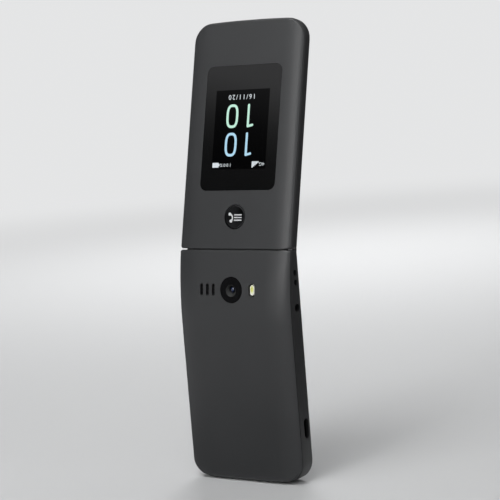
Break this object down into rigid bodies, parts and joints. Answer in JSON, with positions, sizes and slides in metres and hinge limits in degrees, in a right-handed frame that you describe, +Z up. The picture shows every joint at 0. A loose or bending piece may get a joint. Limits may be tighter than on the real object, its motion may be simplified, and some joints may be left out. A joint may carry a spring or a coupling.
{
  "type": "flip phone",
  "caption": "Clamshell mobile phone with a keypad half and a leaning screen lid on a barrel hinge, clip-off rear cover, camera, flash, outer screen and round lid button.",
  "frame": {"origin": "on the middle plane of the phone, at the height of the lower half's far end, midway front to back over the open phone", "axes": "+Z up along the lower half, towards the hinge and the lid; +Y out of the battery cover's back; -Y out of the keypad; +X to the right as seen from the keypad side"},
  "size_m": [0.0585, 0.037, 0.1995],
  "materials": {
    "shell_plastic": "satin, dark grey",
    "frame_plastic": "satin, dark grey",
    "key_plastic": "satin, near black",
    "gloss_black": "polished",
    "window": "polished",
    "screen": "black when dark",
    "lens_glass": "coated",
    "flash_window": "clear over a yellow lamp",
    "spun_metal": "dark, spun",
    "steel": "plain",
    "brass": "plain",
    "board": "solder mask over glass fibre",
    "battery_case": "plain",
    "dark_plastic": "plain",
    "soft_rubber": "soft"
  },
  "bodies": {
    "base": {"keypad_housing": "shell_plastic", "base_frame": "frame_plastic", "main_board": "board", "dome_sheet": "steel", "battery": "battery_case", "battery_contacts": "brass", "sim_socket": "steel", "memory_card_socket": "steel", "camera_module": "dark_plastic", "camera_bezel": "gloss_black", "camera_lens": "lens_glass", "flash_lens": "flash_window", "loudspeaker": "dark_plastic", "vibration_motor": "steel", "headphone_jack": "dark_plastic", "usb_port": "steel", "base_screws": "steel", "hinge_shaft": "steel", "hinge_sleeve": "steel"},
    "rear_cover": {"rear_cover": "shell_plastic", "speaker_mesh": "steel"},
    "lid": {"lid_frame": "frame_plastic", "lid_cover": "shell_plastic", "outer_window": "window", "outer_display": "screen", "inner_window": "window", "main_display": "screen", "lid_board": "board", "lid_switch": "brass", "earpiece": "dark_plastic", "earpiece_mesh": "steel", "lid_bumpers": "soft_rubber", "lid_magnet": "steel", "hinge_cartridge": "brass"},
    "lid_button": {"lid_button": "spun_metal"},
    "key_1": {"key_1": "key_plastic"},
    "key_2": {"key_2": "key_plastic"},
    "key_3": {"key_3": "key_plastic"},
    "key_4": {"key_4": "key_plastic"},
    "key_5": {"key_5": "key_plastic"},
    "key_6": {"key_6": "key_plastic"},
    "key_7": {"key_7": "key_plastic"},
    "key_8": {"key_8": "key_plastic"},
    "key_9": {"key_9": "key_plastic"},
    "key_star": {"key_star": "key_plastic"},
    "key_0": {"key_0": "key_plastic"},
    "key_hash": {"key_hash": "key_plastic"},
    "key_soft_left": {"key_soft_left": "key_plastic"},
    "key_soft_right": {"key_soft_right": "key_plastic"},
    "key_camera": {"key_camera": "key_plastic"},
    "key_message": {"key_message": "key_plastic"},
    "key_call": {"key_call": "key_plastic"},
    "key_back": {"key_back": "key_plastic"},
    "key_end": {"key_end": "key_plastic"},
    "nav_ring": {"nav_ring": "spun_metal"},
    "key_ok": {"key_ok": "key_plastic"},
    "volume_rocker": {"volume_rocker": "shell_plastic"}
  },
  "joints": [
    {"name": "lid_hinge", "type": "hinge", "parent": "base", "child": "lid", "pos_m": [0, 0.00705, 0.101], "axis": [1, 0, 0], "range_deg": [0, 165]},
    {"name": "rear_cover_slide", "type": "slide", "parent": "base", "child": "rear_cover", "axis": [0, 1, 0], "range_m": [0, 0.03]},
    {"name": "lid_button_press", "type": "slide", "parent": "lid", "child": "lid_button", "axis": [0, -0.9659, -0.2588], "range_m": [0, 0.0003], "stiffness_N_per_m": 200},
    {"name": "volume_rock", "type": "hinge", "parent": "base", "child": "volume_rocker", "pos_m": [0.0276, 0.01145, 0.07], "axis": [0, 1, 0], "range_deg": [-1.8, 1.8], "stiffness_Nm_per_rad": 0.02},
    {"name": "key_1_press", "type": "slide", "parent": "base", "child": "key_1", "axis": [0, 1, 0], "range_m": [0, 0.0003], "stiffness_N_per_m": 200},
    {"name": "key_2_press", "type": "slide", "parent": "base", "child": "key_2", "axis": [0, 1, 0], "range_m": [0, 0.0003], "stiffness_N_per_m": 200},
    {"name": "key_3_press", "type": "slide", "parent": "base", "child": "key_3", "axis": [0, 1, 0], "range_m": [0, 0.0003], "stiffness_N_per_m": 200},
    {"name": "key_4_press", "type": "slide", "parent": "base", "child": "key_4", "axis": [0, 1, 0], "range_m": [0, 0.0003], "stiffness_N_per_m": 200},
    {"name": "key_5_press", "type": "slide", "parent": "base", "child": "key_5", "axis": [0, 1, 0], "range_m": [0, 0.0003], "stiffness_N_per_m": 200},
    {"name": "key_6_press", "type": "slide", "parent": "base", "child": "key_6", "axis": [0, 1, 0], "range_m": [0, 0.0003], "stiffness_N_per_m": 200},
    {"name": "key_7_press", "type": "slide", "parent": "base", "child": "key_7", "axis": [0, 1, 0], "range_m": [0, 0.0003], "stiffness_N_per_m": 200},
    {"name": "key_8_press", "type": "slide", "parent": "base", "child": "key_8", "axis": [0, 1, 0], "range_m": [0, 0.0003], "stiffness_N_per_m": 200},
    {"name": "key_9_press", "type": "slide", "parent": "base", "child": "key_9", "axis": [0, 1, 0], "range_m": [0, 0.0003], "stiffness_N_per_m": 200},
    {"name": "key_star_press", "type": "slide", "parent": "base", "child": "key_star", "axis": [0, 1, 0], "range_m": [0, 0.0003], "stiffness_N_per_m": 200},
    {"name": "key_0_press", "type": "slide", "parent": "base", "child": "key_0", "axis": [0, 1, 0], "range_m": [0, 0.0003], "stiffness_N_per_m": 200},
    {"name": "key_hash_press", "type": "slide", "parent": "base", "child": "key_hash", "axis": [0, 1, 0], "range_m": [0, 0.0003], "stiffness_N_per_m": 200},
    {"name": "key_soft_left_press", "type": "slide", "parent": "base", "child": "key_soft_left", "axis": [0, 1, 0], "range_m": [0, 0.0003], "stiffness_N_per_m": 200},
    {"name": "key_soft_right_press", "type": "slide", "parent": "base", "child": "key_soft_right", "axis": [0, 1, 0], "range_m": [0, 0.0003], "stiffness_N_per_m": 200},
    {"name": "key_camera_press", "type": "slide", "parent": "base", "child": "key_camera", "axis": [0, 1, 0], "range_m": [0, 0.0003], "stiffness_N_per_m": 200},
    {"name": "key_message_press", "type": "slide", "parent": "base", "child": "key_message", "axis": [0, 1, 0], "range_m": [0, 0.0003], "stiffness_N_per_m": 200},
    {"name": "key_call_press", "type": "slide", "parent": "base", "child": "key_call", "axis": [0, 1, 0], "range_m": [0, 0.0003], "stiffness_N_per_m": 200},
    {"name": "key_back_press", "type": "slide", "parent": "base", "child": "key_back", "axis": [0, 1, 0], "range_m": [0, 0.0003], "stiffness_N_per_m": 200},
    {"name": "key_end_press", "type": "slide", "parent": "base", "child": "key_end", "axis": [0, 1, 0], "range_m": [0, 0.0003], "stiffness_N_per_m": 200},
    {"name": "nav_ring_press", "type": "slide", "parent": "base", "child": "nav_ring", "axis": [0, 1, 0], "range_m": [0, 0.0003], "stiffness_N_per_m": 200},
    {"name": "key_ok_press", "type": "slide", "parent": "base", "child": "key_ok", "axis": [0, 1, 0], "range_m": [0, 0.0003], "stiffness_N_per_m": 200}
  ]
}
